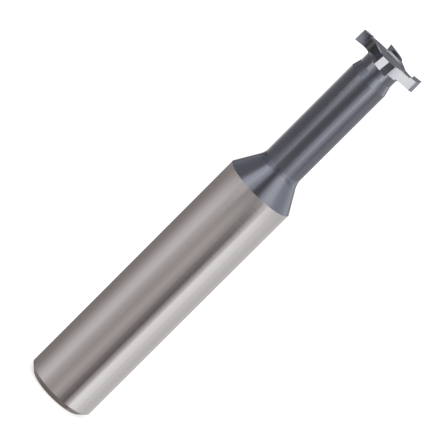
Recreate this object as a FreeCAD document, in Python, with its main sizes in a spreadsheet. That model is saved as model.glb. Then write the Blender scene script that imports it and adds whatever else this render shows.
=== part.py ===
"""Slotting cutter: one piece of solid carbide, a plain cylindrical shank, a slim neck and a
four-toothed disc at the tip.  Millimetres.

The tool stands on the end of its shank.  The origin is the centre of that end face, +Z runs up
the axis of rotation to the toothed head, and the cutting corner of the first tooth lies on +X.
Seen from the head the tool turns anticlockwise (a right-hand cutter).
"""
import FreeCAD, Part
import math
import os
import Sketcher

# Driving dimensions: name, value in millimetres or degrees, what it is.
SIZES = [
    ("overall_length", 74.5, "shank end to the front of the teeth"),
    ("shank_dia", 12.0, "plain ground shank"),
    ("shank_length", 45.5, "shank end to the start of the shoulder"),
    ("end_chamfer", 1.0, "45 degree chamfer at the shank end"),
    ("shoulder_angle", 30.0, "half angle of the cone from shank to neck"),
    ("shoulder_blend", 3.5, "radius between the shoulder cone and the neck"),
    ("neck_dia", 6.9, "long slim neck"),
    ("relief_dia", 6.1, "short thinner stretch behind the head"),
    ("relief_length", 1.6, "length of that stretch"),
    ("relief_taper", 15.0, "half angle of the taper down to it"),
    ("head_blend", 0.2, "radius between that stretch and the head"),
    ("cut_dia", 12.0, "circle that the cutting corners run on"),
    ("cut_width", 2.2, "width of the slot that the teeth cut"),
    ("tooth_count", 4, "teeth round the head"),
    ("rake_angle", 15.0, "rake face against the radius"),
    ("edge_lean", 6.0, "lean of the teeth along the axis, front leading"),
    ("first_land", 1.2, "length of the first clearance land"),
    ("first_clearance", 15.0, "first land against the tangent at the corner"),
    ("second_land", 1.35, "length of the second clearance land"),
    ("second_clearance", 38.0, "second land against the same tangent"),
    ("web_dia", 6.2, "circle that the tooth backs run tangent to"),
    ("gullet_radius", 1.1, "radius at the bottom of each gullet"),
    ("side_clearance", 5.7, "fall of both tooth sides from edge to heel"),
    ("clearance_start", 2.1, "where that grinding starts, measured out from the axis"),
    ("recess_dia", 8.8, "inner limit of the raised tooth fronts"),
    ("recess_depth", 0.42, "depth of the front recess"),
    ("dish_dia", 6.8, "rim of the shallow dish in the recess"),
    ("dish_floor_dia", 4.6, "flat floor of that dish"),
    ("dish_depth", 0.15, "depth of the dish below the recess"),
]

RUN_OUT = 0.4        # how far a cut runs past the back of the head, into free air
CUT_REACH = 1.0      # how far a cut reaches outside the circle of the cutting corners
NECK_GUARD = 0.05    # how far the hub that the clearance leaves stands out from the blend

# Heights and widths that several features share, as formulas on the sheet.
HEAD_BACK = "(Sizes.overall_length - Sizes.cut_width)"
SHOULDER_RUN = "((Sizes.shank_dia - Sizes.neck_dia) / 2 / tan(Sizes.shoulder_angle * 1 deg))"
TAPER_RUN = "((Sizes.neck_dia - Sizes.relief_dia) / 2 / tan(Sizes.relief_taper * 1 deg))"
HUB_RADIUS = f"(Sizes.relief_dia / 2 + Sizes.head_blend + {NECK_GUARD})"
PITCH = "(360 / Sizes.tooth_count)"
OUTSIDE = f"(Sizes.cut_dia / 2 + {CUT_REACH})"
HUB_FRONT = f"({HEAD_BACK} + Sizes.cut_width / 2)"

doc = FreeCAD.newDocument("SlottingCutter")


def make_sheet():
    """The spreadsheet that every feature takes its sizes from."""
    sheet = doc.addObject("Spreadsheet::Sheet", "Sizes")
    for row, (name, value, meaning) in enumerate(SIZES, start=1):
        sheet.set(f"A{row}", name)
        sheet.set(f"B{row}", str(value))
        sheet.set(f"C{row}", meaning)
        sheet.setAlias(f"B{row}", name)
    doc.recompute()
    return sheet


sizes = make_sheet()


def size(name):
    """A driving dimension, read back from the sheet."""
    return float(sizes.get(name))


def worked_out(formula):
    """The number that a formula on the sheet gives."""
    result = sizes.evalExpression(formula.replace("Sizes.", ""))
    return float(getattr(result, "Value", result))


def turned(distance, degrees):
    """The point at a distance from the axis, at an angle from +X."""
    angle = math.radians(degrees)
    return FreeCAD.Vector(distance * math.cos(angle), distance * math.sin(angle), 0)


def origin_feature(body, role):
    """One of the body's own origin planes or axes."""
    return next(f for f in body.Origin.OriginFeatures if f.Role == role)


def new_sketch(body, name, plane):
    """A sketch on one of the body's origin planes."""
    sketch = body.newObject("Sketcher::SketchObject", name)
    sketch.AttachmentSupport = [(origin_feature(body, plane), "")]
    sketch.MapMode = "FlatFace"
    return sketch


def bind(sketch, name, formula, kind, *where):
    """Add a dimension to a sketch and tie it to the sheet."""
    value = worked_out(formula)
    if kind == "Angle":
        index = sketch.addConstraint(Sketcher.Constraint(kind, *where, math.radians(value)))
        formula = f"{formula} * 1 deg"
    else:
        index = sketch.addConstraint(Sketcher.Constraint(kind, *where, value))
    sketch.renameConstraint(index, name)
    sketch.setExpression(f"Constraints.{name}", formula)


def cut_volume(feature, before):
    """Stop unless the feature took something off the solid."""
    if feature.Shape.Volume > before.Shape.Volume - 1e-3:
        raise RuntimeError(f"{feature.Name} cut nothing")


def turned_blank(body):
    """The half section of the whole tool, turned once round the axis."""
    recess_floor = "(Sizes.overall_length - Sizes.recess_depth)"
    dish_floor = f"({recess_floor} - Sizes.dish_depth)"
    relief_start = f"({HEAD_BACK} - Sizes.relief_length)"
    corners = [
        ("axis_foot", None, None),
        ("shank_end", "Sizes.shank_dia / 2", None),
        ("shank_top", "Sizes.shank_dia / 2", "Sizes.shank_length"),
        ("neck_start", "Sizes.neck_dia / 2", f"Sizes.shank_length + {SHOULDER_RUN}"),
        ("neck_end", "Sizes.neck_dia / 2", f"{relief_start} - {TAPER_RUN}"),
        ("relief_start", "Sizes.relief_dia / 2", relief_start),
        ("relief_end", "Sizes.relief_dia / 2", HEAD_BACK),
        ("disc_back", "Sizes.cut_dia / 2", HEAD_BACK),
        ("disc_front", "Sizes.cut_dia / 2", "Sizes.overall_length"),
        ("recess_edge", "Sizes.recess_dia / 2", "Sizes.overall_length"),
        ("recess_foot", "Sizes.recess_dia / 2", recess_floor),
        ("dish_rim", "Sizes.dish_dia / 2", recess_floor),
        ("dish_foot", "Sizes.dish_floor_dia / 2", dish_floor),
        ("axis_front", None, dish_floor),
    ]
    sketch = new_sketch(body, "HalfSection", "XZ_Plane")
    points = [FreeCAD.Vector(worked_out(across) if across else 0, worked_out(up) if up else 0, 0)
              for _, across, up in corners]
    for i, start in enumerate(points):
        sketch.addGeometry(Part.LineSegment(start, points[(i + 1) % len(points)]), False)
    for i, (name, across, up) in enumerate(corners):
        sketch.addConstraint(Sketcher.Constraint("Coincident", i, 2, (i + 1) % len(points), 1))
        if across:
            bind(sketch, f"{name}_radius", across, "DistanceX", -1, 1, i, 1)
        else:
            sketch.addConstraint(Sketcher.Constraint("PointOnObject", i, 1, -2))
        if up:
            bind(sketch, f"{name}_height", up, "DistanceY", -1, 1, i, 1)
        else:
            sketch.addConstraint(Sketcher.Constraint("PointOnObject", i, 1, -1))
    doc.recompute()
    blank = body.newObject("PartDesign::Revolution", "TurnedBlank")
    blank.Profile = sketch
    blank.ReferenceAxis = (sketch, ["V_Axis"])
    blank.Angle = 360.0
    doc.recompute()
    return blank


def round_edge(feature, radius, height):
    """The name of the feature's circular edge with this radius at this height."""
    for i, edge in enumerate(feature.Shape.Edges, start=1):
        box = edge.BoundBox
        level = abs(box.ZMin - height) < 1e-5 and abs(box.ZMax - height) < 1e-5
        if level and isinstance(edge.Curve, Part.Circle) and abs(edge.Curve.Radius - radius) < 1e-5:
            return f"Edge{i}"
    raise RuntimeError(f"no round edge of radius {radius:.3f} at height {height:.3f}")


def eased(body, kind, name, before, radius, height, amount, formula):
    """A chamfer or a fillet on one circular edge, tied to the sheet."""
    feature = body.newObject(f"PartDesign::{kind}", name)
    feature.Base = (before, [round_edge(before, radius, height)])
    feature.setExpression(amount, formula)
    doc.recompute()
    return feature


def ease_turned_edges(body, blank):
    """The chamfer at the shank end and the two blends along the neck."""
    chamfer = eased(body, "Chamfer", "EndChamfer", blank, size("shank_dia") / 2, 0.0,
                    "Size", "Sizes.end_chamfer")
    neck_start = worked_out(f"Sizes.shank_length + {SHOULDER_RUN}")
    shoulder = eased(body, "Fillet", "ShoulderBlend", chamfer, size("neck_dia") / 2, neck_start,
                     "Radius", "Sizes.shoulder_blend")
    return eased(body, "Fillet", "HeadBlend", shoulder, size("relief_dia") / 2,
                 worked_out(HEAD_BACK), "Radius", "Sizes.head_blend")


def gullet_corners():
    """Where the corners of a gullet's outline lie, to start its sketch from."""
    cut_radius = size("cut_dia") / 2
    web_radius = size("web_dia") / 2
    pitch = worked_out(PITCH)
    corner = turned(cut_radius, 0)
    heel_1 = corner - turned(size("first_land"), 90 - size("first_clearance"))
    heel_2 = heel_1 - turned(size("second_land"), 90 - size("second_clearance"))
    touch = math.atan2(heel_2.y, heel_2.x) - math.acos(web_radius / heel_2.Length)
    back_way = (turned(web_radius, math.degrees(touch)) - heel_2).normalize()
    next_corner = turned(cut_radius, -pitch)
    rake_way = turned(1.0, 180 - pitch + size("rake_angle"))
    # the back and the rake face, made longer, would meet here
    gap = next_corner - heel_2
    reach = gap.cross(rake_way).z / back_way.cross(rake_way).z
    meet = heel_2 + back_way * reach
    half_opening = back_way.getAngle(rake_way) / 2
    taken = size("gullet_radius") / math.tan(half_opening)
    inward = (back_way + rake_way).normalize()
    centre = meet - inward * (size("gullet_radius") / math.sin(half_opening))
    return {
        "corner": corner, "heel_1": heel_1, "heel_2": heel_2,
        "back_end": meet - back_way * taken,
        "bottom": centre + inward * size("gullet_radius"),
        "rake_end": meet - rake_way * taken,
        "next_corner": next_corner,
        "outer_start": turned(worked_out(OUTSIDE), -pitch),
        "outer_middle": turned(worked_out(OUTSIDE), -pitch / 2),
        "outer_end": turned(worked_out(OUTSIDE), 0),
    }


def gullet_sketch(body, name):
    """The space between the first tooth and the one that follows it, seen along the axis.

    It has both clearance lands and the flat back of the first tooth, the round bottom of the
    gullet and the rake face of the next tooth, and it closes in the air outside the head.
    """
    at = gullet_corners()
    sketch = new_sketch(body, name, "XY_Plane")
    line = Part.LineSegment
    first, second, back, bottom, rake, way_out, outer, way_in, spoke, web = range(10)
    sketch.addGeometry(line(at["heel_1"], at["corner"]), False)
    sketch.addGeometry(line(at["heel_2"], at["heel_1"]), False)
    sketch.addGeometry(line(at["heel_2"], at["back_end"]), False)
    sketch.addGeometry(Part.Arc(at["back_end"], at["bottom"], at["rake_end"]), False)
    sketch.addGeometry(line(at["next_corner"], at["rake_end"]), False)
    sketch.addGeometry(line(at["next_corner"], at["outer_start"]), False)
    sketch.addGeometry(Part.Arc(at["outer_start"], at["outer_middle"], at["outer_end"]), False)
    sketch.addGeometry(line(at["outer_end"], at["corner"]), False)
    origin, up = FreeCAD.Vector(0, 0, 0), FreeCAD.Vector(0, 0, 1)
    sketch.addGeometry(line(origin, at["next_corner"]), True)
    sketch.addGeometry(Part.Circle(origin, up, size("web_dia") / 2), True)

    joined = [(first, 1, second, 2), (second, 1, back, 1), (rake, 1, way_out, 1),
              (way_out, 2, outer, 1), (outer, 2, way_in, 1), (way_in, 2, first, 2),
              (spoke, 2, rake, 1), (spoke, 1, -1, 1), (outer, 3, -1, 1), (web, 3, -1, 1)]
    for ends in joined:
        sketch.addConstraint(Sketcher.Constraint("Coincident", *ends))
    sketch.addConstraint(Sketcher.Constraint("Tangent", back, 2, bottom, 1))
    sketch.addConstraint(Sketcher.Constraint("Tangent", bottom, 2, rake, 2))
    sketch.addConstraint(Sketcher.Constraint("Tangent", back, web))
    sketch.addConstraint(Sketcher.Constraint("PointOnObject", first, 2, -1))
    sketch.addConstraint(Sketcher.Constraint("Horizontal", way_in))
    bind(sketch, "corner_radius", "Sizes.cut_dia / 2", "DistanceX", -1, 1, first, 2)
    bind(sketch, "first_land", "Sizes.first_land", "Distance", first)
    bind(sketch, "first_slope", "(90 - Sizes.first_clearance)", "Angle", first)
    bind(sketch, "second_land", "Sizes.second_land", "Distance", second)
    bind(sketch, "second_slope", "(90 - Sizes.second_clearance)", "Angle", second)
    bind(sketch, "web_radius", "Sizes.web_dia / 2", "Radius", web)
    bind(sketch, "bottom_radius", "Sizes.gullet_radius", "Radius", bottom)
    bind(sketch, "rake_slope", f"(180 - {PITCH} + Sizes.rake_angle)", "Angle", rake)
    bind(sketch, "spoke_length", "Sizes.cut_dia / 2", "Distance", spoke)
    bind(sketch, "spoke_slope", f"(360 - {PITCH})", "Angle", spoke)
    bind(sketch, "way_out_slope", f"(360 - {PITCH})", "Angle", way_out)
    bind(sketch, "outer_radius", OUTSIDE, "Radius", outer)
    return sketch


def cut_gullet(body, before):
    """One gullet, right through the head, leaning so that the front of each edge leads."""
    front = gullet_sketch(body, "GulletFront")
    front.setExpression("AttachmentOffset.Base.z", "Sizes.overall_length")
    rear = gullet_sketch(body, "GulletRear")
    rear.AttachmentOffset = FreeCAD.Placement(
        FreeCAD.Vector(0, 0, 0), FreeCAD.Rotation(FreeCAD.Vector(0, 0, -1), 1))
    depth = f"(Sizes.cut_width + {RUN_OUT})"
    twist = f"{depth} * tan(Sizes.edge_lean * 1 deg) / (Sizes.cut_dia / 2) * 1 rad"
    rear.setExpression("AttachmentOffset.Base.z", f"Sizes.overall_length - {depth}")
    rear.setExpression("AttachmentOffset.Rotation.Angle", twist)
    doc.recompute()
    gullet = body.newObject("PartDesign::SubtractiveLoft", "Gullet")
    gullet.Profile = front
    gullet.Sections = [rear]
    gullet.Ruled = True
    doc.recompute()
    cut_volume(gullet, before)
    return gullet


def cut_side_clearance(body, before):
    """Both sides of the first tooth, ground to fall away from its edges towards its heel."""
    sketch = new_sketch(body, "SideClearances", "YZ_Plane")
    sketch.setExpression("AttachmentOffset.Base.z", "Sizes.clearance_start")
    length = "Sizes.cut_dia / 2"
    for side, level in (("front", "Sizes.overall_length"), ("rear", HEAD_BACK)):
        edge, fall, slope = (sketch.GeometryCount + i for i in range(3))
        way = 1 if side == "front" else -1
        height = worked_out(level)
        run = worked_out(length)
        drop = run * math.tan(math.radians(size("side_clearance")))
        ridge = FreeCAD.Vector(0, height, 0)
        far = FreeCAD.Vector(-run, height, 0)
        foot = FreeCAD.Vector(-run, height - way * drop, 0)
        sketch.addGeometry(Part.LineSegment(far, ridge), False)
        sketch.addGeometry(Part.LineSegment(foot, far), False)
        sketch.addGeometry(Part.LineSegment(ridge, foot), False)
        for ends in ((edge, 2, slope, 1), (slope, 2, fall, 1), (fall, 2, edge, 1)):
            sketch.addConstraint(Sketcher.Constraint("Coincident", *ends))
        sketch.addConstraint(Sketcher.Constraint("PointOnObject", edge, 2, -2))
        sketch.addConstraint(Sketcher.Constraint("Horizontal", edge))
        sketch.addConstraint(Sketcher.Constraint("Vertical", fall))
        bind(sketch, f"{side}_height", level, "DistanceY", -1, 1, edge, 2)
        bind(sketch, f"{side}_length", length, "Distance", edge)
        bind(sketch, f"{side}_drop", f"{length} * tan(Sizes.side_clearance * 1 deg)",
             "Distance", fall)
    doc.recompute()
    clearance = body.newObject("PartDesign::Pocket", "SideClearance")
    clearance.Profile = sketch
    clearance.Type = "Length"
    clearance.setExpression("Length", f"{OUTSIDE} - Sizes.clearance_start")
    clearance.Reversed = True
    doc.recompute()
    cut_volume(clearance, before)
    return clearance


def repeated(body, name, cut):
    """The same cut at every tooth."""
    ring = body.newObject("PartDesign::PolarPattern", name)
    ring.Originals = [cut]
    ring.Axis = (origin_feature(body, "Z_Axis"), [""])
    ring.Angle = 360.0
    ring.setExpression("Occurrences", "Sizes.tooth_count")
    body.Tip = ring
    doc.recompute()
    cut_volume(ring, cut)
    return ring


def keep_hub(body, before):
    """The round hub at the back of the head, which the grinding of the sides goes round."""
    sketch = new_sketch(body, "HubSection", "XZ_Plane")
    radius, low, high = worked_out(HUB_RADIUS), worked_out(HEAD_BACK), worked_out(HUB_FRONT)
    corners = [(0, low), (radius, low), (radius, high), (0, high)]
    points = [FreeCAD.Vector(across, up, 0) for across, up in corners]
    for i, start in enumerate(points):
        sketch.addGeometry(Part.LineSegment(start, points[(i + 1) % 4]), False)
    for i in range(4):
        sketch.addConstraint(Sketcher.Constraint("Coincident", i, 2, (i + 1) % 4, 1))
    for line in (0, 2):
        sketch.addConstraint(Sketcher.Constraint("Horizontal", line))
    for line in (1, 3):
        sketch.addConstraint(Sketcher.Constraint("Vertical", line))
    sketch.addConstraint(Sketcher.Constraint("PointOnObject", 0, 1, -2))
    bind(sketch, "hub_back", HEAD_BACK, "DistanceY", -1, 1, 0, 1)
    bind(sketch, "hub_front", HUB_FRONT, "DistanceY", -1, 1, 2, 1)
    bind(sketch, "hub_radius", HUB_RADIUS, "DistanceX", -1, 1, 1, 1)
    doc.recompute()
    hub = body.newObject("PartDesign::Revolution", "Hub")
    hub.Profile = sketch
    hub.ReferenceAxis = (sketch, ["V_Axis"])
    hub.Angle = 360.0
    body.Tip = hub
    doc.recompute()
    if hub.Shape.Volume < before.Shape.Volume + 1e-3:
        raise RuntimeError("the hub added nothing")
    return hub


def build_cutter():
    """The whole tool as one body."""
    body = doc.addObject("PartDesign::Body", "Cutter")
    body.Label = "slotting_cutter"
    blank = turned_blank(body)
    eased_blank = ease_turned_edges(body, blank)
    clearances = repeated(body, "Clearances", cut_side_clearance(body, eased_blank))
    hub = keep_hub(body, clearances)
    repeated(body, "Teeth", cut_gullet(body, hub))
    return body


def check_document():
    """Stop if anything in the document failed."""
    for obj in doc.Objects:
        if "Invalid" in obj.State or "Error" in obj.State:
            raise RuntimeError(f"{obj.Name} failed: {obj.State}")


def check_solid(body):
    """Stop unless the body is one valid solid."""
    shape = body.Shape
    if shape.isNull() or not shape.isValid() or len(shape.Solids) != 1:
        raise RuntimeError(f"{body.Label} is not one valid solid")


cutter = build_cutter()
check_document()
check_solid(cutter)
os.makedirs("parts", exist_ok=True)
cutter.Shape.exportStep(f"parts/{cutter.Label}.step")
box = cutter.Shape.BoundBox
print(f"{cutter.Label}: {cutter.Shape.Volume:.2f} mm3, {len(cutter.Shape.Faces)} faces,",
      f"{box.XLength:.3f} x {box.YLength:.3f} x {box.ZLength:.3f} mm")
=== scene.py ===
"""Looks of the slotting cutter: ground bare carbide shank, dark hard coating from the shoulder up.

The ground form is modelled again here in millimetres, finer than the solid and with broken edges,
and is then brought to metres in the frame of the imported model.
"""
import math

import bmesh
import bpy
from mathutils import Matrix, Vector


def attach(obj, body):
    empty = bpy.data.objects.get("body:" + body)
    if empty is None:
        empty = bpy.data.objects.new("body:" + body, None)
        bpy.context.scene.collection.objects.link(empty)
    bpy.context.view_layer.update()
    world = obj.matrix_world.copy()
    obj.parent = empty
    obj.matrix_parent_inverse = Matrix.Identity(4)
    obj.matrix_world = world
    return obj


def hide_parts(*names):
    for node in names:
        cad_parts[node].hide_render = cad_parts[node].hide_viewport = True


MM = 0.001

# Turned form, in millimetres, as in the part's source.
TOTAL = 74.5
SHANK_R = 6.0
SHANK_LENGTH = 45.5
END_CHAMFER = 1.0
SHOULDER_ANGLE = math.radians(30)
SHOULDER_BLEND = 3.5
NECK_R = 3.45
RELIEF_R = 3.05
RELIEF_LENGTH = 1.6
RELIEF_TAPER = math.radians(15)
HEAD_BLEND = 0.2
CUT_R = 6.0
BLANK_R = CUT_R + 0.05
CUT_WIDTH = 2.2
RECESS_R = 4.4
RECESS_DEPTH = 0.42
DISH_R = 3.4
DISH_FLOOR_R = 2.3
DISH_DEPTH = 0.15

# Teeth.
TEETH = 4
RAKE = math.radians(15)
EDGE_LEAN = math.radians(6)
FIRST_LAND, FIRST_CLEARANCE = 1.2, math.radians(15)
SECOND_LAND, SECOND_CLEARANCE = 1.35, math.radians(38)
WEB_R = 3.1
GULLET_R = 1.1
SIDE_CLEARANCE = math.radians(5.7)
CLEARANCE_START = 2.1
HUB_R = RELIEF_R + HEAD_BLEND + 0.05

# What the visible form adds: broken edges, and the crease at which the shoulder's blend leaves the neck.
EDGE_BREAK = 0.03
EDGE_SEGMENTS = 2
BROKEN_ABOVE = math.radians(18)
BLEND_CREASE = math.radians(12.5)
# The bend above which the shading stays sharp.
SHARP_ABOVE = math.radians(12)
# The height from which the tool is coated.
COATING_FOOT = SHANK_LENGTH - 0.02

# How finely the visible form and the shapes that cut it are made.
ROUND_STEPS = 192
BLEND_STEPS = 12
LAND_STEPS, BACK_STEPS, RAKE_STEPS = 2, 8, 4
GULLET_STEPS = 10
GULLET_RINGS = 8
OUTSIDE_STEPS = 6
HUB_STEPS = 12
# Points nearer than this count as one.
SAME_POINT = 2e-3

# How far the cutting shapes reach past the metal that they take away.
RUN_PAST = 0.5
REACH = 1.0
OVERLAP = math.radians(1.5)
AHEAD = math.radians(5)

# The name of the mark that tells how much the head's walls look the way the teeth turn.
FORWARD = "forward"
# How far a wall may slope.
WALL_SLOPE = 0.3


def circle_point(radius, angle):
    """The point on a circle round the axis, seen along it."""
    return Vector((radius * math.cos(angle), radius * math.sin(angle)))


def rounded_corner(before, corner, after, radius, steps):
    """The points of an arc of this radius that rounds a corner of a profile."""
    a = (before - corner).normalized()
    b = (after - corner).normalized()
    half = a.angle(b) / 2
    start = corner + a * (radius / math.tan(half))
    centre = corner + (a + b).normalized() * (radius / math.sin(half))
    sweep = math.pi - 2 * half
    way = 1 if a.x * b.y - a.y * b.x < 0 else -1
    arm = start - centre
    return [centre + Matrix.Rotation(way * sweep * i / steps, 2) @ arm for i in range(steps + 1)]


def shoulder_blend(shank_top, neck_foot, neck_top):
    """The blend from the cone up to the neck, which it meets at a crease left by the wheel's corner."""
    arc = rounded_corner(shank_top, neck_foot, neck_top, SHOULDER_BLEND, BLEND_STEPS)
    kept = round(BLEND_STEPS * (1 - BLEND_CREASE / SHOULDER_ANGLE))
    last = arc[kept]
    crease = Vector((NECK_R, last.y + (last.x - NECK_R) / math.tan(BLEND_CREASE)))
    return arc[:kept + 1] + [crease]


def half_section():
    """The tool's half section as (radius, height) points, from the shank end to the dish."""
    head_back = TOTAL - CUT_WIDTH
    relief_start = head_back - RELIEF_LENGTH
    neck_end = relief_start - (NECK_R - RELIEF_R) / math.tan(RELIEF_TAPER)
    recess_floor = TOTAL - RECESS_DEPTH
    shank_top = Vector((SHANK_R, SHANK_LENGTH))
    neck_foot = Vector((NECK_R, SHANK_LENGTH + (SHANK_R - NECK_R) / math.tan(SHOULDER_ANGLE)))
    neck_top = Vector((NECK_R, neck_end))
    relief_foot = Vector((RELIEF_R, relief_start))
    relief_top = Vector((RELIEF_R, head_back))
    disc_back = Vector((BLANK_R, head_back))
    points = [Vector((0, 0)), Vector((SHANK_R - END_CHAMFER, 0)), Vector((SHANK_R, END_CHAMFER))]
    points += [shank_top] + shoulder_blend(shank_top, neck_foot, neck_top)
    points += [neck_top, relief_foot]
    points += rounded_corner(relief_foot, relief_top, disc_back, HEAD_BLEND, BLEND_STEPS)
    points += [disc_back, Vector((BLANK_R, TOTAL)), Vector((RECESS_R, TOTAL))]
    points += [Vector((RECESS_R, recess_floor)), Vector((DISH_R, recess_floor))]
    points += [Vector((DISH_FLOOR_R, recess_floor - DISH_DEPTH)), Vector((0, recess_floor - DISH_DEPTH))]
    return points


def mesh_object(name, bm):
    """An object at the origin from a bmesh, which is freed."""
    mesh = bpy.data.meshes.new(name)
    bm.to_mesh(mesh)
    bm.free()
    obj = bpy.data.objects.new(name, mesh)
    bpy.context.scene.collection.objects.link(obj)
    return obj


def turned_blank():
    """The half section turned round the axis: one closed mesh with a fan at each pole."""
    bm = bmesh.new()
    angles = [2 * math.pi * i / ROUND_STEPS for i in range(ROUND_STEPS)]
    rings = []
    for point in half_section():
        if point.x == 0:
            rings.append([bm.verts.new((0, 0, point.y))])
        else:
            rings.append([bm.verts.new((*circle_point(point.x, angle), point.y)) for angle in angles])
    for low, high in zip(rings, rings[1:]):
        for i in range(ROUND_STEPS):
            j = (i + 1) % ROUND_STEPS
            if len(low) == 1:
                bm.faces.new((low[0], high[j], high[i]))
            elif len(high) == 1:
                bm.faces.new((low[i], low[j], high[0]))
            else:
                bm.faces.new((low[i], low[j], high[j], high[i]))
    bmesh.ops.recalc_face_normals(bm, faces=bm.faces)
    return mesh_object("blank", bm)


def close_rings(bm, rings):
    """The faces between rings of as many points, and a cap at each end."""
    for low, high in zip(rings, rings[1:]):
        for i in range(len(low)):
            j = (i + 1) % len(low)
            bm.faces.new((low[i], low[j], high[j], high[i]))
    bm.faces.new(rings[0])
    bm.faces.new(rings[-1])


def stepped(start, end, steps):
    """Points along a straight stretch of an outline, from its start up to but not including its end."""
    return [start.lerp(end, i / steps) for i in range(steps)]


def gullet_outline():
    """The outline of one gullet seen from the head, from the first tooth's corner to the next."""
    pitch = 2 * math.pi / TEETH
    corner = circle_point(CUT_R, 0)
    heel_1 = corner - circle_point(FIRST_LAND, math.pi / 2 - FIRST_CLEARANCE)
    heel_2 = heel_1 - circle_point(SECOND_LAND, math.pi / 2 - SECOND_CLEARANCE)
    touch = math.atan2(heel_2.y, heel_2.x) - math.acos(WEB_R / heel_2.length)
    back_way = (circle_point(WEB_R, touch) - heel_2).normalized()
    next_corner = circle_point(CUT_R, -pitch)
    rake_way = circle_point(1, math.pi - pitch + RAKE)
    gap = next_corner - heel_2
    meet = heel_2 + back_way * (gap.cross(rake_way) / back_way.cross(rake_way))
    bottom = rounded_corner(heel_2, meet, next_corner, GULLET_R, GULLET_STEPS)
    ground = stepped(corner, heel_1, LAND_STEPS) + stepped(heel_1, heel_2, LAND_STEPS)
    ground += stepped(heel_2, bottom[0], BACK_STEPS) + bottom[:-1]
    ground += stepped(bottom[-1], next_corner, RAKE_STEPS) + [next_corner]
    outside = CUT_R + REACH
    sweep = pitch + 2 * OVERLAP
    turns = [OVERLAP - sweep * (1 - i / OUTSIDE_STEPS) for i in range(OUTSIDE_STEPS + 1)]
    return ground + [circle_point(outside, turn) for turn in turns]


def gullet_cutter():
    """What one gullet takes away: its outline run through the head, turning as it goes."""
    low, high = TOTAL - CUT_WIDTH - RUN_PAST, TOTAL + RUN_PAST
    outline = gullet_outline()
    bm = bmesh.new()
    rings = []
    for i in range(GULLET_RINGS + 1):
        height = low + (high - low) * i / GULLET_RINGS
        turn = Matrix.Rotation((height - TOTAL) * math.tan(EDGE_LEAN) / CUT_R, 2)
        rings.append([bm.verts.new((*(turn @ point), height)) for point in outline])
    close_rings(bm, rings)
    bmesh.ops.recalc_face_normals(bm, faces=bm.faces)
    return mesh_object("gullet", bm)


def side_cutter():
    """What grinding the sides of one tooth takes away: a wedge above it and one below, round the hub."""
    outside = CUT_R + REACH
    sweep = math.acos(CLEARANCE_START / HUB_R) + AHEAD
    outline = [circle_point(HUB_R, AHEAD - sweep * i / HUB_STEPS) for i in range(HUB_STEPS + 1)]
    outline += [Vector((CLEARANCE_START, -CUT_R)), Vector((outside, -CUT_R))]
    outline += [Vector((outside, HUB_R * math.sin(AHEAD)))]
    bm = bmesh.new()
    for level, way in ((TOTAL, 1), (TOTAL - CUT_WIDTH, -1)):
        ground = [bm.verts.new((x, y, level + way * y * math.tan(SIDE_CLEARANCE))) for x, y in outline]
        air = [bm.verts.new((x, y, level + way * RUN_PAST)) for x, y in outline]
        close_rings(bm, [ground, air])
    bmesh.ops.recalc_face_normals(bm, faces=bm.faces)
    return mesh_object("side_grind", bm)


def node(tree, kind, **settings):
    """A node with its plain settings."""
    made = tree.nodes.new(kind)
    for name, value in settings.items():
        setattr(made, name, value)
    return made


def feed(tree, socket, value):
    """Gives a socket a plain value or what another node puts out."""
    if isinstance(value, bpy.types.NodeSocket):
        tree.links.new(value, socket)
    else:
        socket.default_value = value


def worked(tree, operation, *values):
    """What this operation gives for these values."""
    work = node(tree, "ShaderNodeMath", operation=operation)
    for socket, value in zip(work.inputs, values):
        feed(tree, socket, value)
    return work.outputs[0]


def teeth_tree():
    """A node tree that cuts the same gullet and side clearance at every tooth, and its inputs by name."""
    tree = bpy.data.node_groups.new("Cut teeth", "GeometryNodeTree")
    kinds = {"Blank": "Geometry", "Tooth count": "Int", "Gullet": "Object", "Side grind": "Object",
             "Bare metal": "Material"}
    inputs = {}
    for name, kind in kinds.items():
        socket = tree.interface.new_socket(name, in_out="INPUT", socket_type="NodeSocket" + kind)
        inputs[name] = socket.identifier
    tree.interface.new_socket("Tool", in_out="OUTPUT", socket_type="NodeSocketGeometry")
    start = node(tree, "NodeGroupInput")
    each = node(tree, "GeometryNodeRepeatInput")
    done = node(tree, "GeometryNodeRepeatOutput")
    each.pair_with_output(done)
    feed(tree, each.inputs["Iterations"], start.outputs["Tooth count"])
    feed(tree, each.inputs["Geometry"], start.outputs["Blank"])
    pitch = worked(tree, "DIVIDE", 2 * math.pi, start.outputs["Tooth count"])
    rotation = node(tree, "ShaderNodeCombineXYZ")
    feed(tree, rotation.inputs["Z"], worked(tree, "MULTIPLY", each.outputs["Iteration"], pitch))
    solid = each.outputs["Geometry"]
    for name in ("Gullet", "Side grind"):
        shape = node(tree, "GeometryNodeObjectInfo")
        feed(tree, shape.inputs["Object"], start.outputs[name])
        turned = node(tree, "GeometryNodeTransform")
        feed(tree, turned.inputs["Geometry"], shape.outputs["Geometry"])
        feed(tree, turned.inputs["Rotation"], rotation.outputs[0])
        cut = node(tree, "GeometryNodeMeshBoolean", operation="DIFFERENCE", solver="MANIFOLD")
        feed(tree, cut.inputs["Mesh 1"], solid)
        feed(tree, cut.inputs["Mesh 2"], turned.outputs["Geometry"])
        solid = cut.outputs["Mesh"]
    feed(tree, done.inputs["Geometry"], solid)
    whole = node(tree, "GeometryNodeRealizeInstances")
    feed(tree, whole.inputs["Geometry"], done.outputs["Geometry"])
    paint = node(tree, "GeometryNodeSetMaterial")
    feed(tree, paint.inputs["Geometry"], whole.outputs["Geometry"])
    feed(tree, paint.inputs["Material"], start.outputs["Bare metal"])
    end = node(tree, "NodeGroupOutput")
    feed(tree, end.inputs["Tool"], paint.outputs["Geometry"])
    return tree, inputs


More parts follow.
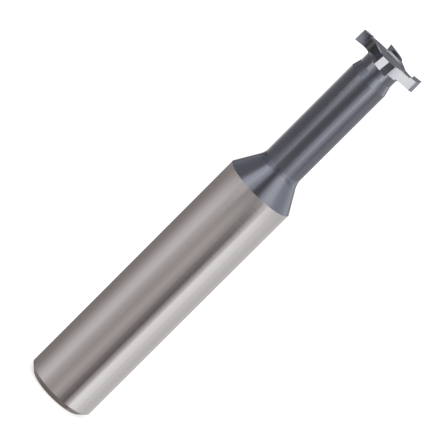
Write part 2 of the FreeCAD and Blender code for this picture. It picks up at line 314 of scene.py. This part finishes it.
def plain_copy(obj, name):
    """The evaluated object as a plain mesh object; the one it came from is removed."""
    graph = bpy.context.evaluated_depsgraph_get()
    mesh = bpy.data.meshes.new_from_object(obj.evaluated_get(graph))
    made = bpy.data.objects.new(name, mesh)
    bpy.context.scene.collection.objects.link(made)
    bpy.data.objects.remove(obj)
    return made


def cut_teeth(bare):
    """The blank with its teeth cut, as one closed mesh."""
    blank = turned_blank()
    gullet = gullet_cutter()
    sides = side_cutter()
    tree, inputs = teeth_tree()
    cut = blank.modifiers.new("Teeth", "NODES")
    cut.node_group = tree
    cut[inputs["Tooth count"]] = TEETH
    cut[inputs["Gullet"]] = gullet
    cut[inputs["Side grind"]] = sides
    cut[inputs["Bare metal"]] = bare
    tool = plain_copy(blank, "cutter")
    for used in (gullet, sides):
        bpy.data.objects.remove(used)
    bm = bmesh.new()
    bm.from_mesh(tool.data)
    bmesh.ops.remove_doubles(bm, verts=bm.verts, dist=SAME_POINT)
    bmesh.ops.recalc_face_normals(bm, faces=bm.faces)
    bm.to_mesh(tool.data)
    bm.free()
    return tool


# The places of the three finishes on the mesh.
BARE, COATED, EDGES = range(3)


def break_edges(tool, bare, coated, edges):
    """The tool with its edges broken and its finishes shared out over its faces."""
    tool.data.materials.clear()
    for finish in (bare, coated, edges):
        tool.data.materials.append(finish)
    for face in tool.data.polygons:
        face.material_index = COATED if face.center.z > COATING_FOOT else BARE
    broken = tool.modifiers.new("Broken edges", "BEVEL")
    broken.material = EDGES
    broken.width = EDGE_BREAK
    broken.segments = EDGE_SEGMENTS
    broken.limit_method = "ANGLE"
    broken.angle_limit = BROKEN_ABOVE
    broken.use_clamp_overlap = True
    tool = plain_copy(tool, "cutter_ground")
    for face in tool.data.polygons:
        if face.material_index == EDGES and face.center.xy.length < HUB_R:
            face.material_index = COATED
        if face.center.z < COATING_FOOT:
            face.material_index = BARE
        face.use_smooth = True
    return tool


def crease_rings(mesh, radii, highest):
    """Keeps the shallow bends of the dish crisp: the rings of these radii no higher than its rim."""
    for edge in mesh.edges:
        ends = [mesh.vertices[i].co for i in edge.vertices]
        heights = [end.z for end in ends]
        if max(heights) > highest + SAME_POINT or min(heights) < highest - 2 * DISH_DEPTH:
            continue
        for radius in radii:
            if all(abs(end.xy.length - radius) < SAME_POINT for end in ends):
                edge.use_edge_sharp = True


def mark_forward(mesh):
    """Marks how much each corner of the head's walls looks the way the teeth turn, as the rakes do."""
    mark = mesh.attributes.new(FORWARD, "FLOAT", "CORNER")
    for loop, normal in zip(mesh.loops, mesh.corner_normals):
        place = mesh.vertices[loop.vertex_index].co
        if place.z > TOTAL - CUT_WIDTH and abs(normal.vector.z) < WALL_SLOPE:
            mark.data[loop.index].value = place.xy.cross(normal.vector.xy)


def finished_tool(bare, coated, edges):
    """The tool: cut, edges broken, shaded level, marked, then millimetres to metres."""
    tool = break_edges(cut_teeth(bare), bare, coated, edges)
    tool.data.set_sharp_from_angle(angle=SHARP_ABOVE)
    crease_rings(tool.data, (DISH_R, DISH_FLOOR_R), TOTAL - RECESS_DEPTH)
    # large faces keep their own direction beside the narrow ones of broken edges and blends
    level = tool.modifiers.new("Level shading", "WEIGHTED_NORMAL")
    level.mode = "FACE_AREA"
    level.keep_sharp = True
    tool = plain_copy(tool, "cutter_finished")
    mark_forward(tool.data)
    tool.data.transform(Matrix.Scale(MM, 4))
    return tool


# Finishes. Tones, roughness from smooth to rough, and the depth of ground lines in metres.
METALLIC = 0.92
CARBIDE_DARK, CARBIDE_LIGHT = (0.545, 0.53, 0.524), (0.575, 0.56, 0.556)
CARBIDE_ROUGHNESS = 0.115, 0.145
CARBIDE_LINE_DEPTH = 1.0e-6
COATING_DARK, COATING_LIGHT = (0.189, 0.199, 0.236), (0.205, 0.215, 0.260)
COATING_ROUGHNESS = 0.115, 0.145
COATING_LINE_DEPTH = 0.6e-6
# The broken edges' lighter tone: partly rubbed wear, partly a painted highlight.
EDGE_WEAR_AND_HIGHLIGHT = (0.30, 0.305, 0.33)
EDGE_ROUGHNESS = 0.16, 0.24

# The gullets: painted shade at their bottoms, painted light on the rakes, and a rougher finish of their
# own.
GULLET_PAINTED_SHADE, RAKE_PAINTED_LIGHT = (0.095, 0.092, 0.092), (0.26, 0.27, 0.32)
GULLET_ROUGHNESS = 0.28, 0.36
# The radii, in millimetres, between which the painted shade turns to painted light.
GULLET_LOW, GULLET_HIGH = 3.9, 4.8
# The forward marks between which the gullets' painted shading and rougher finish come in.
FORWARD_FAINT, FORWARD_FULL = 0.5, 2.5

# Waves to the metre of what varies, along each axis, and how fine its detail is.
ROUND_LINES = (30, 30, 5000)
FINE_LINES = (60, 60, 7000)
CLOUDS = (90, 90, 60)
DRIFT = (160, 160, 90)
RUBBED = (1500, 1500, 1500)
GRAIN = (2500, 2500, 2500)
FINE, SOFT = 3, 2
# How much of the clouds and of the drift a tone has beside the lines.
CLOUD_SHARE, DRIFT_SHARE = 0.6, 0.7
# Between which values nearly all of a pattern lies.
PATTERN_LOW, PATTERN_HIGH = 0.3, 0.7


def mixed(tree, kind, share, a, b):
    """Two numbers or two colours mixed, with this share of the second."""
    mix = node(tree, "ShaderNodeMix", data_type=kind)
    feed(tree, mix.inputs["Factor"], share)
    feed(tree, mix.inputs["A"], a)
    feed(tree, mix.inputs["B"], b)
    return mix.outputs["Result"]


def ranged(tree, value, start, end, low, high):
    """A value that goes smoothly from low to high as another goes from start to end."""
    change = node(tree, "ShaderNodeMapRange", interpolation_type="SMOOTHSTEP")
    limits = {"Value": value, "From Min": start, "From Max": end, "To Min": low, "To Max": high}
    for name, limit in limits.items():
        feed(tree, change.inputs[name], limit)
    return change.outputs["Result"]


def hard_metal(name):
    """A material for cemented carbide or its coating, still without its finish."""
    material = bpy.data.materials.new(name)
    material.use_nodes = True
    shader = material.node_tree.nodes["Principled BSDF"]
    shader.inputs["Metallic"].default_value = METALLIC
    return material, material.node_tree, shader


def pattern(tree, scale, detail):
    """Noise on the tool's own coordinates, with so many waves to the metre along each axis."""
    place = node(tree, "ShaderNodeTexCoord")
    stretch = node(tree, "ShaderNodeMapping")
    feed(tree, stretch.inputs["Vector"], place.outputs["Object"])
    feed(tree, stretch.inputs["Scale"], scale)
    noise = node(tree, "ShaderNodeTexNoise")
    feed(tree, noise.inputs["Vector"], stretch.outputs[0])
    feed(tree, noise.inputs["Scale"], 1)
    feed(tree, noise.inputs["Detail"], detail)
    return noise.outputs[0]


def spread(tree, noise, low, high):
    """A pattern spread between two values."""
    return ranged(tree, noise, PATTERN_LOW, PATTERN_HIGH, low, high)


def toned(tree, noise, dark, light):
    """A colour that a pattern varies between two tones of one finish."""
    return mixed(tree, "RGBA", spread(tree, noise, 0, 1), (*dark, 1), (*light, 1))


def ground_in(tree, shader, lines, depth):
    """Grinding lines of this depth, in metres, in the surface."""
    bump = node(tree, "ShaderNodeBump")
    feed(tree, bump.inputs["Strength"], 1)
    feed(tree, bump.inputs["Distance"], depth)
    feed(tree, bump.inputs["Height"], lines)
    feed(tree, shader.inputs["Normal"], bump.outputs["Normal"])


def ground_carbide():
    """Bare carbide, ground round: faint lines round the shank and a slightly cloudy tone."""
    material, tree, shader = hard_metal("ground_carbide")
    lines = pattern(tree, ROUND_LINES, FINE)
    cloudy = mixed(tree, "FLOAT", CLOUD_SHARE, lines, pattern(tree, CLOUDS, SOFT))
    feed(tree, shader.inputs["Base Color"], toned(tree, cloudy, CARBIDE_DARK, CARBIDE_LIGHT))
    feed(tree, shader.inputs["Roughness"], spread(tree, lines, *CARBIDE_ROUGHNESS))
    ground_in(tree, shader, lines, CARBIDE_LINE_DEPTH)
    return material


def painted_gullet_shading(tree, grain):
    """The coating's colour in the gullets: painted shade at their bottoms, painted light on the rakes."""
    place = node(tree, "ShaderNodeTexCoord")
    across = node(tree, "ShaderNodeVectorMath", operation="MULTIPLY")
    feed(tree, across.inputs[0], place.outputs["Object"])
    feed(tree, across.inputs[1], (1, 1, 0))
    radius = node(tree, "ShaderNodeVectorMath", operation="LENGTH")
    feed(tree, radius.inputs[0], across.outputs["Vector"])
    out = ranged(tree, radius.outputs["Value"], GULLET_LOW * MM, GULLET_HIGH * MM, 0, 1)
    return mixed(tree, "RGBA", out, (*GULLET_PAINTED_SHADE, 1), toned(tree, grain, COATING_LIGHT, RAKE_PAINTED_LIGHT))


def hard_coating():
    """The dark coating: faint ground lines show through, its blue drifts, and the gullets are rougher,
    with painted shade at their bottoms and painted light on the rakes.
    """
    material, tree, shader = hard_metal("hard_coating")
    lines = pattern(tree, FINE_LINES, FINE)
    drifting = mixed(tree, "FLOAT", DRIFT_SHARE, lines, pattern(tree, DRIFT, SOFT))
    grain = pattern(tree, GRAIN, FINE)
    mark = node(tree, "ShaderNodeAttribute", attribute_name=FORWARD)
    gullets = ranged(tree, mark.outputs["Fac"], FORWARD_FAINT, FORWARD_FULL, 0, 1)
    plain_tone = toned(tree, drifting, COATING_DARK, COATING_LIGHT)
    # the gullets' walls get painted shade at their bottoms and painted light on the rakes
    tone = mixed(tree, "RGBA", gullets, plain_tone, painted_gullet_shading(tree, grain))
    feed(tree, shader.inputs["Base Color"], tone)
    plain_roughness = spread(tree, lines, *COATING_ROUGHNESS)
    roughness = mixed(tree, "FLOAT", gullets, plain_roughness, spread(tree, grain, *GULLET_ROUGHNESS))
    feed(tree, shader.inputs["Roughness"], roughness)
    ground_in(tree, shader, mixed(tree, "FLOAT", gullets, lines, grain), COATING_LINE_DEPTH)
    return material


def edge_wear_and_painted_highlight():
    """The coating on the broken edges of the head and of the shoulder's foot, a little lighter: partly
    rubbed wear, partly a painted highlight.
    """
    material, tree, shader = hard_metal("edge_wear_and_painted_highlight")
    rubbed = pattern(tree, RUBBED, FINE)
    feed(tree, shader.inputs["Base Color"], toned(tree, rubbed, COATING_LIGHT, EDGE_WEAR_AND_HIGHLIGHT))
    feed(tree, shader.inputs["Roughness"], spread(tree, rubbed, *EDGE_ROUGHNESS))
    return material


# The camera: the photograph's lens, its focal length in pixels, and where it stands, in metres.
PHOTO_WIDTH = 448
LENS_PIXELS = 4672.7
SENSOR_WIDTH = 36.0
CAMERA_DISTANCE = 0.7145
CAMERA_AZIMUTH = math.radians(-14.1)
CAMERA_ELEVATION = math.radians(13.08)
CAMERA_ROLL = math.radians(45.05)
AIM = Vector((0.0, 0.0, 0.03746))
AIM_ASIDE = -0.000072
NEAREST, FARTHEST = 0.1, 10.0


def make_camera():
    """A long lens a little above the head's side, rolled so that the tool lies across the frame."""
    back = Vector((math.sin(CAMERA_AZIMUTH) * math.cos(CAMERA_ELEVATION),
                   -math.cos(CAMERA_AZIMUTH) * math.cos(CAMERA_ELEVATION),
                   math.sin(CAMERA_ELEVATION)))
    right = Vector((math.cos(CAMERA_AZIMUTH), math.sin(CAMERA_AZIMUTH), 0))
    up = back.cross(right)
    roll = Matrix.Rotation(CAMERA_ROLL, 3, back)
    lens = bpy.data.cameras.new("camera")
    lens.sensor_width = SENSOR_WIDTH
    lens.lens = LENS_PIXELS / PHOTO_WIDTH * SENSOR_WIDTH
    lens.clip_start, lens.clip_end = NEAREST, FARTHEST
    camera = bpy.data.objects.new("camera", lens)
    bpy.context.scene.collection.objects.link(camera)
    axes = Matrix((roll @ right, roll @ up, back)).transposed()
    place = AIM + right * AIM_ASIDE + back * CAMERA_DISTANCE
    camera.matrix_world = Matrix.Translation(place) @ axes.to_4x4()
    bpy.context.scene.camera = camera


# The floor: how far it reaches, its tone, and the glow that makes it white to the camera.
FLOOR_REACH = 3.0
FLOOR_TONE = (0.8, 0.8, 0.8)
FLOOR_GLOW = 0.5


def make_floor():
    """A pale floor that looks white and keeps the tool's shadow."""
    bm = bmesh.new()
    bmesh.ops.create_grid(bm, x_segments=1, y_segments=1, size=FLOOR_REACH)
    floor = mesh_object("floor", bm)
    material = bpy.data.materials.new("floor_white")
    material.use_nodes = True
    tree = material.node_tree
    tree.nodes.clear()
    matt = node(tree, "ShaderNodeBsdfDiffuse")
    feed(tree, matt.inputs["Color"], (*FLOOR_TONE, 1))
    ray = node(tree, "ShaderNodeLightPath")
    glow = node(tree, "ShaderNodeEmission")
    to_camera = worked(tree, "MULTIPLY", ray.outputs["Is Camera Ray"], FLOOR_GLOW)
    feed(tree, glow.inputs["Strength"], to_camera)
    both = node(tree, "ShaderNodeAddShader")
    feed(tree, both.inputs[0], matt.outputs[0])
    feed(tree, both.inputs[1], glow.outputs[0])
    out = node(tree, "ShaderNodeOutputMaterial")
    feed(tree, out.inputs["Surface"], both.outputs[0])
    floor.data.materials.append(material)
    floor.visible_glossy = False
    floor.visible_shadow = False


# What the metal mirrors: a round light tent, in metres.
TENT_RADIUS = 0.25
TENT_FOOT, TENT_TOP = -0.35, 0.75
TENT_GLOW = 4.0
TENT_SIDES = 128

# The brightness round the tent at each level, by the turn from the camera in degrees; 1 is white.
FOOT_LEVEL = [(-180, 0.28), (-150, 0.25), (-133, 0.30), (-109, 0.38), (-75, 0.58), (-36, 0.52),
              (0, 0.52), (36, 0.38), (60, 0.80), (92, 0.70), (125, 0.58), (145, 0.35), (180, 0.28)]
SHANK_LEVEL = [(-180, 0.45), (-150, 0.25), (-133, 0.27), (-109, 0.35), (-91, 0.54), (-75, 0.76),
               (-60, 0.83), (-36, 0.55), (-22, 0.46), (0, 0.58), (12, 0.45), (24, 0.22), (36, 0.12),
               (48, 0.57), (60, 1.25), (75, 1.15), (92, 0.92), (120, 0.78), (150, 0.75), (180, 0.45)]
NECK_LEVEL = [(-180, 0.45), (-158, 1.05), (-138, 0.70), (-124, 0.47), (-108, 0.38), (-85, 0.29),
              (-66, 0.29), (-49, 0.50), (-33, 0.86), (-17, 0.28), (-2, 0.22), (13, 0.30), (28, 0.88),
              (44, 1.32), (61, 0.75), (80, 0.47), (101, 0.64), (130, 0.60), (180, 0.45)]
HEAD_LEVEL = [(-180, 0.30), (-130, 0.22), (-95, 0.25), (-64, 0.25), (-56, 3.90), (-40, 3.90),
              (-32, 1.20), (-22, 1.40), (-12, 1.10), (-3, 0.20), (3, 0.20), (12, 0.50), (28, 0.45),
              (38, 1.20), (45, 3.90), (60, 3.90), (70, 0.80), (100, 0.80), (132, 1.05), (155, 0.50),
              (180, 0.30)]
BACK_LEVEL = [(-180, 1.00), (-168, 0.60), (-155, 0.40), (-101, 0.34), (-75, 0.38), (-50, 1.05),
              (-32, 1.15), (-14, 0.40), (0, 0.25), (16, 0.50), (35, 1.50), (62, 1.20), (80, 0.80),
              (104, 0.90), (130, 1.30), (155, 0.60), (168, 1.20), (180, 1.00)]
BLEND_LEVEL = [(-180, 0.27), (-155, 0.27), (-138, 0.45), (-104, 0.28), (-76, 0.31), (-52, 0.64),
               (-32, 0.90), (-20, 0.52), (-10, 0.26), (0, 0.20), (10, 0.28), (20, 0.53), (30, 1.04),
               (46, 1.34), (64, 0.84), (78, 0.56), (104, 0.75), (130, 1.10), (148, 1.00), (164, 0.40),
               (180, 0.30)]
TAPER_LEVEL = [(-180, 0.27), (-155, 0.27), (-138, 0.50), (-120, 0.42), (-101, 0.34), (-72, 0.36),
               (-50, 0.82), (-33, 1.12), (-14, 0.38), (0, 0.24), (16, 0.50), (35, 1.50), (48, 1.80),
               (62, 1.20), (78, 0.78), (104, 0.85), (130, 1.20), (148, 1.10), (164, 0.40), (180, 0.30)]
HIGH_LEVEL = [(-180, 1.60), (-166, 1.60), (-150, 0.60), (-120, 0.50), (-101, 0.40), (-84, 0.34),
              (-73, 0.52), (-60, 1.35), (-44, 1.60), (-22, 0.95), (-6, 0.24), (8, 0.22), (18, 0.60),
              (29, 1.20), (45, 1.60), (62, 1.50), (76, 1.00), (92, 0.85), (110, 1.25), (131, 1.70),
              (148, 1.40), (180, 1.60)]

# The tints of a level's darker parts, and of its lamps, which are what is brighter than white.
WHITE = Vector((1, 1, 1))
WARM = Vector((1.0, 0.84, 0.82))
FAINTLY_WARM = Vector((1.0, 0.92, 0.90))
COOL = Vector((0.95, 0.97, 1.05))
LAMP = Vector((1.0, 0.96, 0.84))
# How far past white a lamp has its full tint.
LAMP_RISE = 2.0

# Each level, the heights between which it takes over from the one below, and its tint.
LEVELS = [(FOOT_LEVEL, None, WARM), (SHANK_LEVEL, (-0.14, -0.11), WARM),
          (NECK_LEVEL, (-0.009, -0.005), FAINTLY_WARM), (HEAD_LEVEL, (0.027, 0.033), FAINTLY_WARM),
          (BACK_LEVEL, (0.064, 0.072), COOL), (BLEND_LEVEL, (0.084, 0.092), COOL),
          (TAPER_LEVEL, (0.125, 0.155), COOL), (HIGH_LEVEL, (0.178, 0.195), FAINTLY_WARM)]


def axes_of(tree, coordinates):
    """The three axes of an object's own coordinates or of a direction."""
    place = node(tree, "ShaderNodeTexCoord")
    axes = node(tree, "ShaderNodeSeparateXYZ")
    feed(tree, axes.inputs[0], place.outputs[coordinates])
    return axes.outputs


def level_ramp(tree, around, stops, tint):
    """The brightness of the tent round one level, its darker parts and its lamps tinted."""
    ramp = node(tree, "ShaderNodeValToRGB")
    ramp.color_ramp.interpolation = "EASE"
    points = ramp.color_ramp.elements
    while len(points) < len(stops):
        points.new(0.5)
    for point, (turn, bright) in zip(points, stops):
        point.position = (turn + 180) / 360
        lamp = min(max(bright - 1, 0) / LAMP_RISE, 1)
        shade = tint.lerp(WHITE, min(bright, 1.0)).lerp(LAMP, lamp)
        point.color = (*(shade * (bright / TENT_GLOW)), 1)
    feed(tree, ramp.inputs["Fac"], around)
    return ramp.outputs["Color"]


def tent_light():
    """The light of the tent: its levels one above the other, each by the turn from the camera."""
    material = bpy.data.materials.new("tent_light")
    material.use_nodes = True
    material.cycles.emission_sampling = "NONE"
    tree = material.node_tree
    tree.nodes.clear()
    axes = axes_of(tree, "Object")
    turn = worked(tree, "ARCTAN2", axes["X"], worked(tree, "MULTIPLY", axes["Y"], -1))
    from_camera = worked(tree, "SUBTRACT", turn, CAMERA_AZIMUTH - math.pi)
    around = worked(tree, "FRACT", worked(tree, "DIVIDE", from_camera, 2 * math.pi))
    shown = None
    for stops, change, tint in LEVELS:
        level = level_ramp(tree, around, stops, tint)
        if shown is None:
            shown = level
        else:
            shown = mixed(tree, "RGBA", ranged(tree, axes["Z"], *change, 0, 1), shown, level)
    glow = node(tree, "ShaderNodeEmission")
    feed(tree, glow.inputs["Strength"], TENT_GLOW)
    feed(tree, glow.inputs["Color"], shown)
    out = node(tree, "ShaderNodeOutputMaterial")
    feed(tree, out.inputs["Surface"], glow.outputs[0])
    return material


def make_tent():
    """A round light tent that only mirror reflections see."""
    bm = bmesh.new()
    bmesh.ops.create_cone(bm, cap_ends=False, segments=TENT_SIDES, radius1=TENT_RADIUS,
                          radius2=TENT_RADIUS, depth=TENT_TOP - TENT_FOOT)
    bmesh.ops.translate(bm, verts=bm.verts, vec=(0, 0, (TENT_TOP + TENT_FOOT) / 2))
    tent = mesh_object("light_tent", bm)
    tent.data.materials.append(tent_light())
    tent.visible_camera = False
    tent.visible_diffuse = False
    tent.visible_transmission = False
    tent.visible_volume_scatter = False
    tent.visible_shadow = False


# The ceiling and the ground that the metal mirrors past the ends of the tent.
ABOVE = (0.7, 0.7, 0.7)
BELOW, BELOW_BEHIND = (0.6, 0.56, 0.54), (0.21, 0.175, 0.165)
# The ground is dim behind the tool: where it changes along Y. The ceiling meets it about the horizon.
BEHIND_FROM, BEHIND_TO = -0.1, 0.15
HORIZON = 0.3


def make_world():
    """White to the eye and to matt surfaces; a bright ceiling and a dimmer ground to what mirrors it."""
    world = bpy.data.worlds.new("studio")
    bpy.context.scene.world = world
    world.use_nodes = True
    world.cycles.sampling_method = "NONE"
    tree = world.node_tree
    tree.nodes.clear()
    axes = axes_of(tree, "Generated")
    behind = ranged(tree, axes["Y"], BEHIND_FROM, BEHIND_TO, 0, 1)
    ground = mixed(tree, "RGBA", behind, (*BELOW, 1), (*BELOW_BEHIND, 1))
    room = mixed(tree, "RGBA", ranged(tree, axes["Z"], -HORIZON, HORIZON, 0, 1), ground, (*ABOVE, 1))
    ray = node(tree, "ShaderNodeLightPath")
    seen = mixed(tree, "RGBA", ray.outputs["Is Glossy Ray"], (*WHITE, 1), room)
    background = node(tree, "ShaderNodeBackground")
    feed(tree, background.inputs["Color"], seen)
    out = node(tree, "ShaderNodeOutputWorld")
    feed(tree, out.inputs["Surface"], background.outputs[0])


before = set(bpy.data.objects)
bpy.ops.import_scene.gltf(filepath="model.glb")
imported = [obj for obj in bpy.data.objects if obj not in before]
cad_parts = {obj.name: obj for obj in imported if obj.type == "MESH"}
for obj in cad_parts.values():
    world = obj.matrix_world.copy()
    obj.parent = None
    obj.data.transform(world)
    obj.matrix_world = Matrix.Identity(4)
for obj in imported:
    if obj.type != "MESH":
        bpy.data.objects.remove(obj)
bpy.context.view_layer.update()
bpy.context.scene.view_settings.view_transform = "Standard"
make_camera()
make_floor()
make_tent()
make_world()
tool = finished_tool(ground_carbide(), hard_coating(), edge_wear_and_painted_highlight())
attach(tool, "root")
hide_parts("slotting_cutter")
